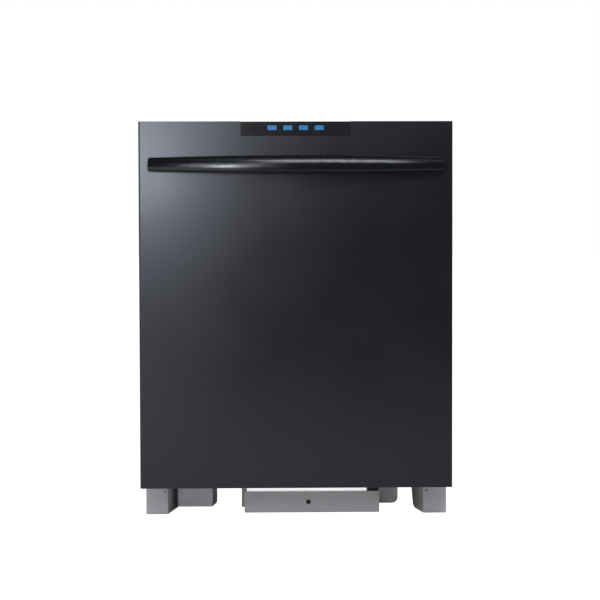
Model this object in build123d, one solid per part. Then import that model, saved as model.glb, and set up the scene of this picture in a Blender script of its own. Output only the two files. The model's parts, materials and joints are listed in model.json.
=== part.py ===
from build123d import *
import os
from math import cos, radians, sin, sqrt

# A built-in dishwasher, 24 inches wide, with its levelling legs screwed in and its toe-kick off.
# Millimetres. +Z is up, the door faces -Y, and the origin is on the floor under the middle of the box.

# Whole machine
DEPTH = 620.0
CABINET_HALF = 300.0
CLEAR = 0.3                 # gap between pieces that move past each other
RUN = 0.06                  # radial clearance of a pin in its hole
SHEET = 1.5

# Door
DOOR_HALF = 303.0
DOOR_HEIGHT = 710.0
DOOR_LIFT = 64.0            # height of the door's lower edge over the floor
DOOR_THICKNESS = 55.0
HANDLE_REACH = 48.0         # from the door's face to the front of the handle
DOOR_TOP = DOOR_LIFT + DOOR_HEIGHT
FACE_Y = -DEPTH / 2 + HANDLE_REACH
LINER_Y = FACE_Y + DOOR_THICKNESS
HINGE_Y = FACE_Y + 22.0
HINGE_Z = 115.0
PIVOT_R = 5.0

# Window, lights and keys along the door's top edge
WINDOW_HALF = 106.0
WINDOW_HEIGHT = 28.0
LIGHT_PITCH = 30.3
LIGHT_SIZE = (17.5, 9.0)
LIGHT_Z = DOOR_TOP - 12.5
STRIP_TOP = DOOR_TOP - 0.5
STRIP_BOTTOM = DOOR_TOP - 23.5
KEY_XS = (-200.0, -160.0, 160.0, 200.0)
KEY_SIZE = (26.0, 12.0, 6.0)
KEY_Y = FACE_Y + 27.0
LATCH_HALF = 24.0
LATCH_Z = (STRIP_BOTTOM + 1.5, STRIP_TOP - 3.5)
LATCH_FRONT = LINER_Y - 33.0

# Handle
HANDLE_HALF = 282.0
HANDLE_Z = DOOR_TOP - 83.0
HANDLE_HEIGHT = 32.5
HANDLE_END_HEIGHT = 26.0
HANDLE_THICK = 14.0
HANDLE_BOW = 28.0
POST_X = 262.0

# Door's inner side: liner, dispenser and vent
LINER_HALF = 288.0
LINER_BOTTOM = HINGE_Z + 3.0
LINER_TOP = STRIP_BOTTOM - 0.5
LINER_DEPTH = 51.0
DISPENSER_X = (-112.0, 82.0)
DISPENSER_Z = (430.0, 542.0)
DISPENSER_FACE = LINER_Y + 0.2
CUP_X = (-100.0, -40.0)
CUP_Z = (447.0, 523.0)
CUP_DEPTH = 24.0
CAP_X = 57.0
CAP_Z = 485.0
CAP_R = 16.0
CAP_STEM_R = 9.0
VENT_X = 190.0
VENT_Z = 640.0
VENT_R = 28.0

# Tub, inside
TUB_HALF = 272.0
TUB_FRONT = LINER_Y + 5.5
TUB_REAR = 285.0
TUB_FLOOR = 156.0
TUB_CEILING = 738.0
SUMP_Y = 40.0               # the spray arms turn about one upright axis at this depth
SUMP_R = 62.0
DISH_R = 200.0
DISH_DROP = 14.0

# Tub, outside
FLANGE_HALF = 299.0
FLANGE_BOTTOM = 130.0
FLANGE_TOP = 770.0
FLANGE_FRONT = TUB_FRONT - SHEET
BLANKET = 12.0
COUNTER_HOLE_X = 220.0
COUNTER_HOLE_Y = -165.0
COUNTER_HOLE_R = 3.2

# Spray arms and their water feed
ARM_PIN_R = 6.0
ARM_LOW_Z = 166.0
ARM_MID_Z = 416.0
ARM_TOP_Z = 700.0
FEED_Z = 436.5

# Racks
WIRE_R = 2.0
RIM_R = 2.8
RACK_FRONT = -195.0
RACK_REAR = 252.0
LOWER_RACK_Z = 192.0
LOWER_RACK_HALF = 241.0
UPPER_RACK_Z = 445.0
UPPER_RACK_HALF = 238.0
WHEEL_R = 16.0
WHEEL_YS = (-140.0, 200.0)
WHEEL_Z = TUB_FLOOR + WHEEL_R + CLEAR
AXLE_R = 4.0
RAIL_Z = (552.0, 584.0)
RAIL_REAR = 235.0
CUTLERY_HALF = 150.0
CUTLERY_Y = (-176.0, -108.0)
CUTLERY_Z = (LOWER_RACK_Z + 12.0, LOWER_RACK_Z + 124.0)
CUTLERY_CELLS = 3

# Base
LEG_X = 277.0
LEG_YS = (-140.0, 275.0)
LEG_R = 6.0
FOOT_R = 16.0
BLOCK_TOP = 62.0
BLOCK_FRONT = FACE_Y + 90.0
BASE_REAR = DEPTH / 2
LEDGE_TOP = TUB_FLOOR - 3.3
WEB_X = (288.0, 295.5)
BRACKET_X = (296.0, 299.0)
PLATE_X = (-102.0, 166.0)
PLATE_Z = (3.0, 45.0)
PLATE_Y = BLOCK_FRONT - 2.0
SCREW_X, SCREW_Z = 25.0, 24.0
TRAY_X = (-108.0, 206.0)
TRAY_Y = (-130.0, 150.0)
TRAY_LOW = 14.5
STRIP_X = (-97.5, 140.5)
CLIP_X = (144.3, 164.0)
STEP_SIDE_INSET = 2.7       # the runner with the step stands this far in from the cabinet's side

# Pumps, inlet, wiring and springs
DRAIN_X, DRAIN_Z, DRAIN_R = 120.0, 50.0, 9.5
INLET_X, INLET_Z, INLET_R = -205.0, 92.0, 9.5
CABLE_X, CABLE_Z, CABLE_R = 245.0, 92.0, 11.0
SPRING_X, SPRING_Z = 277.0, 100.0
SPRING_Y = (50.0, 190.0)


def block(x0, x1, y0, y1, z0, z1):
    """A box between two corners."""
    return Pos((x0 + x1) / 2, (y0 + y1) / 2, (z0 + z1) / 2) * Box(x1 - x0, y1 - y0, z1 - z0)


def rod(start, end, radius):
    """A round bar between two points."""
    a, b = Vector(*start), Vector(*end)
    return Solid.make_cylinder(radius, (b - a).length, Plane(origin=a, z_dir=(b - a).normalized()))


def tube(start, end, outer, inner):
    return rod(start, end, outer) - rod(start, end, inner)


def merged(shapes):
    """One solid out of touching shapes."""
    return shapes[0].fuse(*shapes[1:])


def both_sides(shape):
    """A shape and its mirror image across the machine's middle."""
    return [shape, shape.mirror(Plane.YZ)]


def steps(start, end, count):
    """Evenly spaced values from start to end."""
    return [start + (end - start) * i / (count - 1) for i in range(count)]


def upright(shape_edges):
    return shape_edges.filter_by(Axis.Z)


def save(node, shapes):
    """Write one node, which holds one solid or a group of separate ones."""
    listed = shapes if isinstance(shapes, list) else [shapes]
    solids = [solid for shape in listed for solid in shape.solids()]
    export_step(Compound(children=solids) if len(solids) > 1 else solids[0], f"parts/{node}.step")


# ---------------------------------------------------------------- door

def door_outer_panel():
    """Folded sheet: face, two side returns and a short bottom return, notched for the window."""
    return_depth = 46.0
    bottom_return = 6.0
    edge_radius = 3.0
    shell = block(-DOOR_HALF, DOOR_HALF, FACE_Y, FACE_Y + return_depth, DOOR_LIFT, DOOR_TOP)
    front_corners = upright(shell.edges()).sort_by(Axis.Y)[:2]
    shell = fillet(front_corners, edge_radius)
    lower_front = shell.edges().filter_by(Axis.X).sort_by(Axis.Z)[:2].sort_by(Axis.Y)[0]
    shell = fillet(lower_front, SHEET)
    inner_half = DOOR_HALF - SHEET
    hollow = block(-inner_half, inner_half, FACE_Y + SHEET, FACE_Y + return_depth + SHEET,
                   DOOR_LIFT + SHEET, DOOR_TOP + SHEET)
    hollow = fillet(upright(hollow.edges()).sort_by(Axis.Y)[:2], edge_radius - SHEET)
    below = block(-inner_half, inner_half, FACE_Y + bottom_return, FACE_Y + return_depth + SHEET,
                  DOOR_LIFT - SHEET, DOOR_LIFT + 2 * SHEET)
    notch = block(-WINDOW_HALF, WINDOW_HALF, FACE_Y - SHEET, FACE_Y + 2 * SHEET,
                  DOOR_TOP - WINDOW_HEIGHT, DOOR_TOP + SHEET)
    return shell - hollow - below - notch


def door_inner_liner():
    """Pressed tray facing the tub, cut for the dispenser and the vent."""
    front = LINER_Y - LINER_DEPTH
    tray = block(-LINER_HALF, LINER_HALF, front, LINER_Y, LINER_BOTTOM, LINER_TOP)
    tray = fillet(tray.faces().sort_by(Axis.Y)[-1].edges(), SHEET * 2)
    hollow = block(-LINER_HALF + SHEET, LINER_HALF - SHEET, front - SHEET, LINER_Y - SHEET,
                   LINER_BOTTOM + SHEET, LINER_TOP - SHEET)
    window = block(*DISPENSER_X, LINER_Y - 2 * SHEET, LINER_Y + SHEET, *DISPENSER_Z)
    vent = rod((VENT_X, LINER_Y - 2 * SHEET, VENT_Z), (VENT_X, LINER_Y + SHEET, VENT_Z), VENT_R)
    return tray - hollow - window - vent


def control_strip():
    """Moulding along the door's top edge, with pockets for the keys, the window and the latch."""
    side = 301.2
    front = FACE_Y + SHEET + 0.2
    body = block(-side, side, front, LINER_Y - 1.0, STRIP_BOTTOM, STRIP_TOP)
    body = fillet(upright(body.edges()).sort_by(Axis.Y)[:2], 2.5)
    seat = block(-WINDOW_HALF - CLEAR, WINDOW_HALF + CLEAR, front - 1, FACE_Y + 3.2,
                 STRIP_BOTTOM - 1, STRIP_TOP + 1)
    latch = block(-LATCH_HALF - CLEAR, LATCH_HALF + CLEAR, LATCH_FRONT - CLEAR, LINER_Y,
                  LATCH_Z[0] - CLEAR, LATCH_Z[1] + CLEAR)
    body = body - seat - latch
    gap = 0.4
    depth = KEY_SIZE[2] + 2.5
    for x in KEY_XS:
        body = body - block(x - KEY_SIZE[0] / 2 - gap, x + KEY_SIZE[0] / 2 + gap,
                            KEY_Y - KEY_SIZE[1] / 2 - gap, KEY_Y + KEY_SIZE[1] / 2 + gap,
                            DOOR_TOP - depth, DOOR_TOP)
    return body


def light_xs():
    return [LIGHT_PITCH * (i - 1.5) for i in range(4)]


def light_box(x, y0, y1, grow):
    half_x = LIGHT_SIZE[0] / 2 + grow
    half_z = LIGHT_SIZE[1] / 2 + grow
    return block(x - half_x, x + half_x, y0, y1, LIGHT_Z - half_z, LIGHT_Z + half_z)


def status_window():
    """Dark plate let into the notch at the top of the door's face."""
    edge = WINDOW_HALF - CLEAR
    plate = block(-edge, edge, FACE_Y + 0.4, FACE_Y + 3.0,
                  DOOR_TOP - WINDOW_HEIGHT + CLEAR, STRIP_TOP)
    for x in light_xs():
        plate = plate - light_box(x, FACE_Y, FACE_Y + 2.0, 0.1)
    return plate


def status_lights():
    """Four lenses in a row."""
    lenses = []
    for x in light_xs():
        lens = light_box(x, FACE_Y + 0.2, FACE_Y + 2.0, 0.0)
        lenses.append(fillet(lens.edges().filter_by(Axis.Y), 2.0))
    return lenses


def key(x):
    """A push key in the strip's top face."""
    half_x, half_y = KEY_SIZE[0] / 2, KEY_SIZE[1] / 2
    cap = block(x - half_x, x + half_x, KEY_Y - half_y, KEY_Y + half_y, DOOR_TOP - KEY_SIZE[2], DOOR_TOP)
    cap = fillet(upright(cap.edges()), 3.0)
    return fillet(cap.faces().sort_by(Axis.Z)[-1].edges(), 0.6)


def handle_section(x):
    """Cross-section of the bar at one place along it: a front that leans back under a round shoulder."""
    share = (x / HANDLE_HALF) ** 2
    half = (HANDLE_HEIGHT - share * (HANDLE_HEIGHT - HANDLE_END_HEIGHT)) / 2
    size = 2 * half / HANDLE_HEIGHT
    front_top, front_mid, front_low = (5.6 * size, 12.5), (-3.4 * size, 13.95), (-12.5 * size, 13.45)
    back_top, back_low = (half - 3, 0), (3 - half, 0)
    outline = [ThreePointArc(front_low, front_mid, front_top),
               ThreePointArc(front_top, (11.9 * size, 9.2), (half, 3.0)),
               Line((half, 3.0), back_top),
               Line(back_top, back_low),
               ThreePointArc(back_low, (-15.5 * size, 2.2), (-half, 6.0)),
               ThreePointArc((-half, 6.0), (-15.5 * size, 10.7), front_low)]
    bow_r = (HANDLE_HALF ** 2 + HANDLE_BOW ** 2) / (2 * HANDLE_BOW)
    y_back = -DEPTH / 2 + HANDLE_THICK + bow_r - sqrt(bow_r ** 2 - x ** 2)
    along = Vector(1, x / sqrt(bow_r ** 2 - x ** 2), 0)
    return Plane(origin=(x, y_back, HANDLE_Z), x_dir=(0, 0, 1), z_dir=along) * make_face(outline)


def door_handle():
    """Bar bowed away from the door and a little taller at its middle."""
    bar = loft([handle_section(x) for x in steps(-HANDLE_HALF, HANDLE_HALF, 9)])
    end_radius = 1.0
    for end in (0, -1):
        bar = fillet(bar.faces().sort_by(Axis.X)[end].edges(), end_radius)
    return bar


def handle_posts(bar):
    """Two pads that hold the bar off the door."""
    pads = []
    for x in (-POST_X, POST_X):
        pad = block(x - 13, x + 13, -DEPTH / 2 + HANDLE_THICK / 2, FACE_Y, HANDLE_Z - 10, HANDLE_Z + 10)
        pad = fillet(pad.edges().filter_by(Axis.Y), 4.0)
        pads.append((pad - bar).solids().sort_by(Axis.Y)[-1])
    return pads


def hinge_arms():
    """Flat arms inside the door's sides, each with the pin that it turns on."""
    x0, x1 = 290.0, 293.0
    arm = block(x0, x1, FACE_Y + SHEET, HINGE_Y + 14, HINGE_Z - 30, 330)
    arm = merged([arm, rod((x0, HINGE_Y, HINGE_Z), (300.3, HINGE_Y, HINGE_Z), PIVOT_R)])
    return both_sides(arm)


def dispenser():
    """Moulded body in the liner: a detergent cup and a filler neck."""
    back = LINER_Y - 40.0
    body = block(*DISPENSER_X, back, DISPENSER_FACE, *DISPENSER_Z)
    body = fillet(body.edges().filter_by(Axis.Y), 2.0)
    cup = block(*CUP_X, DISPENSER_FACE - CUP_DEPTH, DISPENSER_FACE + 1, *CUP_Z)
    cup = fillet(cup.edges().filter_by(Axis.Y), 8.0)
    neck = rod((CAP_X, DISPENSER_FACE - 20, CAP_Z), (CAP_X, DISPENSER_FACE + 1, CAP_Z), CAP_STEM_R + RUN)
    return body - cup - neck


def detergent_lid():
    """Flat lid that slides sideways off the cup, with a finger rib."""
    rim = 4.0
    y0 = DISPENSER_FACE + CLEAR
    plate = block(CUP_X[0] - rim, CUP_X[1] + rim, y0, y0 + 2.4, CUP_Z[0] - rim, CUP_Z[1] + rim)
    plate = fillet(plate.edges().filter_by(Axis.Y), 6.0)
    rib = block(CUP_X[1] - 10, CUP_X[1] - 6, y0 + 2.0, y0 + 4.4, CUP_Z[0] + 16, CUP_Z[1] - 16)
    return merged([plate, rib])


def rinse_cap():
    """Round cap with a grip bar and a stem in the filler neck."""
    y0 = DISPENSER_FACE + CLEAR
    disc = rod((CAP_X, y0, CAP_Z), (CAP_X, y0 + 2.5, CAP_Z), CAP_R)
    stem = rod((CAP_X, y0 - 14, CAP_Z), (CAP_X, y0 + 0.5, CAP_Z), CAP_STEM_R)
    grip = block(CAP_X - 3, CAP_X + 3, y0 + 2.0, y0 + 5.5, CAP_Z - 12, CAP_Z + 12)
    return merged([disc, stem, grip])


def door_vent():
    """Round louvred vent in the liner."""
    slat_gap = 5.0
    neck = rod((VENT_X, LINER_Y - 16, VENT_Z), (VENT_X, LINER_Y + 1, VENT_Z), VENT_R - CLEAR)
    rim = rod((VENT_X, LINER_Y, VENT_Z), (VENT_X, LINER_Y + 2.5, VENT_Z), VENT_R + 5)
    vent = merged([neck, rim])
    for i in range(-3, 4):
        z = VENT_Z + i * 2 * slat_gap / 1.4
        half = sqrt((VENT_R - 4) ** 2 - (z - VENT_Z) ** 2)
        vent = vent - block(VENT_X - half, VENT_X + half, LINER_Y - 8, LINER_Y + 3, z - 1.6, z + 1.6)
    return vent


def door_latch():
    """Catch housing in the strip, open at the back where the strike enters."""
    housing = block(-LATCH_HALF, LATCH_HALF, LATCH_FRONT, LINER_Y - 1.2, *LATCH_Z)
    slot = block(-16, 16, LATCH_FRONT + 8, LINER_Y, LATCH_Z[0] + 3, LATCH_Z[1] - 3)
    return housing - slot


# ---------------------------------------------------------------- tub and its fittings

def tub_wrapper():
    """Both side walls and the ceiling, folded from one sheet."""
    outer = TUB_HALF + SHEET
    fold = 14.0
    shell = block(-outer, outer, TUB_FRONT, TUB_REAR, TUB_FLOOR - 3, TUB_CEILING + SHEET)
    shell = fillet(shell.edges().filter_by(Axis.Y).sort_by(Axis.Z)[-2:], fold)
    hollow = block(-TUB_HALF, TUB_HALF, TUB_FRONT - 1, TUB_REAR + 1, TUB_FLOOR - 4, TUB_CEILING)
    hollow = fillet(hollow.edges().filter_by(Axis.Y).sort_by(Axis.Z)[-2:], fold - SHEET)
    return shell - hollow


def tub_back():
    outer = TUB_HALF + SHEET
    return block(-outer, outer, TUB_REAR, TUB_REAR + SHEET, TUB_FLOOR - 3, TUB_CEILING + SHEET)


def tub_floor():
    """Floor pan that falls as a shallow dish to the sump's hole."""
    thick = 3.0
    half = TUB_HALF - 0.1
    pan = block(-half, half, TUB_FRONT + 0.1, TUB_REAR - 0.1, TUB_FLOOR - thick, TUB_FLOOR)
    pan = pan - rod((0, SUMP_Y, TUB_FLOOR - 2 * thick), (0, SUMP_Y, TUB_FLOOR + 1), DISH_R - 1)
    low = TUB_FLOOR - DISH_DROP
    profile = Polyline((DISH_R, TUB_FLOOR), (SUMP_R, low), (SUMP_R, low - thick),
                       (DISH_R, TUB_FLOOR - thick), close=True)
    dish = revolve(make_face(Plane.XZ * profile), Axis.Z)
    return merged([pan, Pos(0, SUMP_Y, 0) * dish])


def frame_ring(half, bottom, top, inner_half, inner_bottom, inner_top, y0, y1):
    outer = block(-half, half, y0, y1, bottom, top)
    return outer - block(-inner_half, inner_half, y0 - 1, y1 + 1, inner_bottom, inner_top)


def tub_flange():
    """Flat frame round the tub's mouth."""
    return frame_ring(FLANGE_HALF, FLANGE_BOTTOM, FLANGE_TOP, TUB_HALF, TUB_FLOOR, TUB_CEILING,
                      FLANGE_FRONT, TUB_FRONT)


def door_gasket():
    """Rubber ring that the liner closes on."""
    bulb = 6.0
    half, bottom, top = 285.0, 141.0, 748.0
    ring = frame_ring(half, bottom, top, half - bulb, bottom + bulb, top - bulb,
                      LINER_Y + 0.4, FLANGE_FRONT)
    return fillet(ring.faces().sort_by(Axis.Y)[0].edges(), 1.5)


def damping_blanket():
    """Four sound-damping pads on the outside of the tub."""
    front, rear = TUB_FRONT + 24, TUB_REAR - 5
    low, high = TUB_FLOOR + 16, TUB_CEILING - 12
    side = block(TUB_HALF + SHEET, TUB_HALF + SHEET + BLANKET, front, rear, low, high)
    top = block(-TUB_HALF + 16, TUB_HALF - 16, front + 32, rear, TUB_CEILING + SHEET,
                TUB_CEILING + SHEET + BLANKET)
    back = block(-TUB_HALF + 8, TUB_HALF - 8, TUB_REAR + SHEET, TUB_REAR + SHEET + BLANKET, low, high)
    return [fillet(pad.edges(), 3.0) for pad in both_sides(side) + [top, back]]


def sump():
    """Cup under the dish, with the column that the lower spray arm sits on."""
    wall, low = 4.0, 70.0
    top = TUB_FLOOR - DISH_DROP - 3.1
    cup = rod((0, SUMP_Y, low), (0, SUMP_Y, top), SUMP_R + wall)
    cup = cup - rod((0, SUMP_Y, low + wall), (0, SUMP_Y, top + 1), SUMP_R - 2)
    column = rod((0, SUMP_Y, low + 1), (0, SUMP_Y, ARM_LOW_Z), 13.0)
    pin = rod((0, SUMP_Y, low + 2), (0, SUMP_Y, ARM_LOW_Z + 20), ARM_PIN_R)
    return merged([cup, column, pin])


def fine_filter():
    """Perforated ring across the sump."""
    z0 = TUB_FLOOR - DISH_DROP - 2.8
    ring = tube((0, SUMP_Y, z0), (0, SUMP_Y, z0 + 2), SUMP_R - 0.5, 35.5)
    holes = []
    for row in range(2):
        radius = 42.0 + 11.0 * row
        count = 18 + 6 * row
        for i in range(count):
            angle = radians(360 * i / count)
            x, y = radius * cos(angle), SUMP_Y + radius * sin(angle)
            holes.append(rod((x, y, z0 - 1), (x, y, z0 + 3), 2.6))
    return ring - holes


def coarse_filter():
    """Slotted cylinder round the column, with a turning grip on its rim."""
    outer, inner, low, high = 34.0, 32.0, 100.0, 158.0
    sleeve = tube((0, SUMP_Y, low), (0, SUMP_Y, high), outer, inner)
    lid = tube((0, SUMP_Y, high - 3), (0, SUMP_Y, high), outer, 14.5)
    slots = []
    for i in range(12):
        turned = Pos(0, SUMP_Y, 0) * Rot(0, 0, 15 + 30 * i)
        slots.append(turned * block(inner - 3, outer + 3, -3, 3, low + 8, high - 12))
    grips = [Pos(0, SUMP_Y, 0) * Rot(0, 0, 180 * i) * block(18, 32, -2, 2, high - 1, high + 6)
             for i in range(2)]
    return merged([sleeve - slots, lid] + grips)


def spray_arm(reach, z0, width):
    """Flat two-bladed arm with a hub and a row of jets."""
    blade_z, thick, hub_r, hub_high = z0 + 3.0, 8.0, 20.0, 13.0
    blade = Pos(0, SUMP_Y, blade_z) * extrude(SlotOverall(2 * reach, width), thick)
    blade = fillet(blade.faces().sort_by(Axis.Z)[-1].edges(), 3.0)
    arm = merged([blade, rod((0, SUMP_Y, z0), (0, SUMP_Y, z0 + hub_high), hub_r)])
    jets = []
    for i, x in enumerate(steps(0.3 * reach, 0.92 * reach, 5)):
        side = width / 5 if i % 2 else -width / 5
        for sign in (-1, 1):
            jets.append(rod((sign * x, SUMP_Y + sign * side, blade_z + thick - 2.5),
                            (sign * x, SUMP_Y + sign * side, blade_z + thick + 1), 1.8))
    bore = rod((0, SUMP_Y, z0 - 1), (0, SUMP_Y, z0 + hub_high + 1), ARM_PIN_R + RUN)
    return arm - jets - bore


def heating_element():
    """Open ring of rod over the floor, with both ends turned down."""
    rod_r, ring_r, z = 4.0, 165.0, 162.0
    gap = 12.0
    path = CenterArc((0, 0), ring_r, 270 + gap, 360 - 2 * gap)
    section = Plane(origin=path @ 0, z_dir=path % 0) * Circle(rod_r)
    ring = Pos(0, SUMP_Y, z) * sweep(section, path)
    ends = []
    for sign in (-1, 1):
        x = ring_r * sin(radians(gap)) * sign
        y = SUMP_Y - ring_r * cos(radians(gap))
        ends.append(rod((x, y, z - 9), (x, y, z + 1), rod_r))
    return merged([ring] + ends)


def feed_tube():
    """Flat water channel up the back wall and along the ceiling, with a nozzle and the top arm's pin."""
    half, rear = 15.0, TUB_REAR - 0.1
    front = rear - 16.0
    high = TUB_CEILING - 4.0
    riser = block(-half, half, front, rear, TUB_FLOOR + 0.3, high)
    run = block(-half, half, SUMP_Y - half, rear, high - 12, high)
    pin = rod((0, SUMP_Y, ARM_TOP_Z - 3), (0, SUMP_Y, high - 6), ARM_PIN_R)
    flange = rod((0, SUMP_Y, ARM_TOP_Z - 3.3), (0, SUMP_Y, ARM_TOP_Z - CLEAR), 9.0)
    nozzle = rod((0, front - 5, FEED_Z), (0, front + 2, FEED_Z), 10.0)
    return merged([riser, run, pin, flange, nozzle])


def upper_rack_feed():
    """Pipe under the upper rack to the middle spray arm's pin."""
    pipe = rod((0, SUMP_Y - 4, FEED_Z), (0, RACK_REAR + 8, FEED_Z), 6.4)
    pin = rod((0, SUMP_Y, ARM_MID_Z - 4), (0, SUMP_Y, FEED_Z), ARM_PIN_R)
    flange = rod((0, SUMP_Y, ARM_MID_Z - 4), (0, SUMP_Y, ARM_MID_Z - CLEAR), 9.0)
    return merged([pipe, pin, flange])


def rack_rails():
    """Fixed channels on the tub's sides."""
    wall = 2.0
    channel = block(262, TUB_HALF - 0.1, RACK_FRONT + 2, RAIL_REAR, *RAIL_Z)
    inside = block(261, TUB_HALF - 0.1 - wall, RACK_FRONT, RAIL_REAR + 2, RAIL_Z[0] + 3, RAIL_Z[1] - 3)
    return both_sides(channel - inside)


def upper_rail_slides():
    """Moving members inside the channels, which go half as far as the rack."""
    bar = block(254.5, 268.8, RACK_FRONT + 4, RAIL_REAR, RAIL_Z[0] + 4.5, RAIL_Z[1] - 4.5)
    return both_sides(fillet(bar.edges().filter_by(Axis.Y), 2.0))


def latch_strike():
    """Steel loop on the flange that the door's catch takes."""
    z = (LATCH_Z[0] + LATCH_Z[1]) / 2
    tip = LATCH_FRONT + 12.0
    rod_r = 2.0
    legs = [rod((x, tip, z), (x, FLANGE_FRONT - 0.2, z), rod_r) for x in (-10, 10)]
    bar = rod((-11.5, tip, z), (11.5, tip, z), rod_r * 1.1)
    plate = block(-16, 16, FLANGE_FRONT - 1.6, FLANGE_FRONT, z - 6, z + 6)
    return merged([bar, plate] + legs)


def counter_brackets():
    """Tabs behind the flange's top edge, each with one hole for a screw into the worktop."""
    top = FLANGE_TOP
    tab = block(COUNTER_HOLE_X - 16, COUNTER_HOLE_X + 16, TUB_FRONT, COUNTER_HOLE_Y + 15, top - 2, top)
    down = block(COUNTER_HOLE_X - 16, COUNTER_HOLE_X + 16, TUB_FRONT, TUB_FRONT + 2, top - 22, top - 1)
    hole = rod((COUNTER_HOLE_X, COUNTER_HOLE_Y, top - 5), (COUNTER_HOLE_X, COUNTER_HOLE_Y, top + 1),
               COUNTER_HOLE_R)
    return both_sides(merged([tab, down]) - hole)


# ---------------------------------------------------------------- racks

def grille(place, width, height, columns, rows, rim=WIRE_R):
    """Flat wire grid. Rows run along the plane's X; columns lie on them, a little sunk in."""
    sink = 1.55 * WIRE_R
    wires = []
    for i, y in enumerate(steps(0, height, rows)):
        radius = rim if i == rows - 1 else WIRE_R
        wires.append(rod((0, y, 0), (width, y, 0), radius))
    inset = 4.0
    for x in steps(inset, width - inset, columns):
        wires.append(rod((x, -WIRE_R / 2, sink), (x, height + WIRE_R / 2, sink), WIRE_R))
    return Location(place) * merged(wires)


def tine_row(x, z, y0, y1, high):
    """A foot wire with a row of upright prongs."""
    pitch, radius = 26.0, 1.7
    count = int((y1 - y0) / pitch)
    wires = [rod((x, y0, z), (x, y1, z), radius * 1.15)]
    for y in steps(y0 + 8, y1 - 8, count):
        wires.append(rod((x, y, z), (x, y, z + high), radius))
    return merged(wires)


def wire_basket(half, y0, y1, z0, high, across, along, rows):
    """Floor and four walls as separate flat grids that meet at the corners."""
    gap = 2.6 * WIRE_R
    width, depth = 2 * half, y1 - y0
    z = z0 + WIRE_R
    floor = grille(Plane(origin=(-half + gap, y0 + gap, z), x_dir=(1, 0, 0), z_dir=(0, 0, 1)),
                   width - 2 * gap, depth - 2 * gap, across, along)
    front = grille(Plane(origin=(-half + gap, y0 + RIM_R, z), x_dir=(1, 0, 0), z_dir=(0, -1, 0)),
                   width - 2 * gap, high, across, rows, RIM_R).moved(Location((0, 1.2, 0)))
    rear = front.mirror(Plane.XZ.offset(-(y0 + y1) / 2))
    side = grille(Plane(origin=(half - RIM_R, y0 + gap, z), x_dir=(0, 1, 0), z_dir=(1, 0, 0)),
                  depth - 2 * gap, high, along, rows, RIM_R).moved(Location((-1.2, 0, 0)))
    return [floor, front, rear] + both_sides(side)


def lower_rack_basket():
    """Lower rack with its plate tines and the brackets that its wheels turn on."""
    shapes = wire_basket(LOWER_RACK_HALF, RACK_FRONT + 5, RACK_REAR, LOWER_RACK_Z, 128, 12, 11, 5)
    tine_z = LOWER_RACK_Z + 3.9 * WIRE_R + CLEAR
    for x in steps(-175, 175, 5):
        shapes.append(tine_row(x, tine_z, -90, RACK_REAR - 20, 72))
    for y in WHEEL_YS:
        inner = LOWER_RACK_HALF + 3.0
        plate = block(inner, inner + 3, y - 11, y + 11, WHEEL_Z - 8, LOWER_RACK_Z + 26)
        axle = rod((inner + 1, y, WHEEL_Z), (inner + 18.5, y, WHEEL_Z), AXLE_R)
        shapes += both_sides(merged([plate, axle]))
    return shapes


def wheel_pair(y):
    """Two grooved rollers on one axis line."""
    inner = LOWER_RACK_HALF + 6.6
    wheel = rod((inner, y, WHEEL_Z), (inner + 10, y, WHEEL_Z), WHEEL_R)
    wheel = fillet(wheel.edges(), 1.5)
    bore = rod((inner - 1, y, WHEEL_Z), (inner + 11, y, WHEEL_Z), AXLE_R + RUN)
    spokes = []
    for i in range(5):
        angle = radians(72 * i)
        at = (y + 9.5 * cos(angle), WHEEL_Z + 9.5 * sin(angle))
        spokes.append(rod((inner - 1, *at), (inner + 11, *at), 2.6))
    return both_sides(wheel - bore - spokes)


def upper_rack_basket():
    """Upper rack with its cup tines and the plates that hang it on the slides."""
    shapes = wire_basket(UPPER_RACK_HALF, RACK_FRONT, RACK_REAR, UPPER_RACK_Z, 142, 12, 11, 5)
    tine_z = UPPER_RACK_Z + 3.9 * WIRE_R + CLEAR
    for x in (-120.0, 0.0, 120.0):
        shapes.append(tine_row(x, tine_z, RACK_FRONT + 30, RACK_REAR - 30, 58))
    hanger = block(UPPER_RACK_HALF + 1.5, 254.1, -150, 190, RAIL_Z[0] + 6, RAIL_Z[1] - 6)
    return shapes + both_sides(fillet(hanger.edges().filter_by(Axis.X), 6.0))


def silverware_basket():
    """Open box of three cells with slotted floors and a carrying bar."""
    wall = 2.5
    box = block(-CUTLERY_HALF, CUTLERY_HALF, *CUTLERY_Y, *CUTLERY_Z)
    box = fillet(upright(box.edges()), 6.0)
    pitch = (2 * CUTLERY_HALF - wall) / CUTLERY_CELLS
    for i in range(CUTLERY_CELLS):
        x0 = -CUTLERY_HALF + wall + i * pitch
        cell = block(x0, x0 + pitch - wall, CUTLERY_Y[0] + wall, CUTLERY_Y[1] - wall,
                     CUTLERY_Z[0] + wall, CUTLERY_Z[1] + 1)
        slots = [block(x, x + 3, CUTLERY_Y[0] - 1, CUTLERY_Y[1] + 1, CUTLERY_Z[0] + 14, CUTLERY_Z[1] - 22)
                 for x in steps(x0 + 10, x0 + pitch - 16, 7)]
        box = box - cell - slots
    middle = sum(CUTLERY_Y) / 2
    bar = block(-CUTLERY_HALF, CUTLERY_HALF, middle - 3, middle + 3, CUTLERY_Z[1] - 8, CUTLERY_Z[1])
    return merged([box, bar])


# ---------------------------------------------------------------- base and machinery

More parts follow.
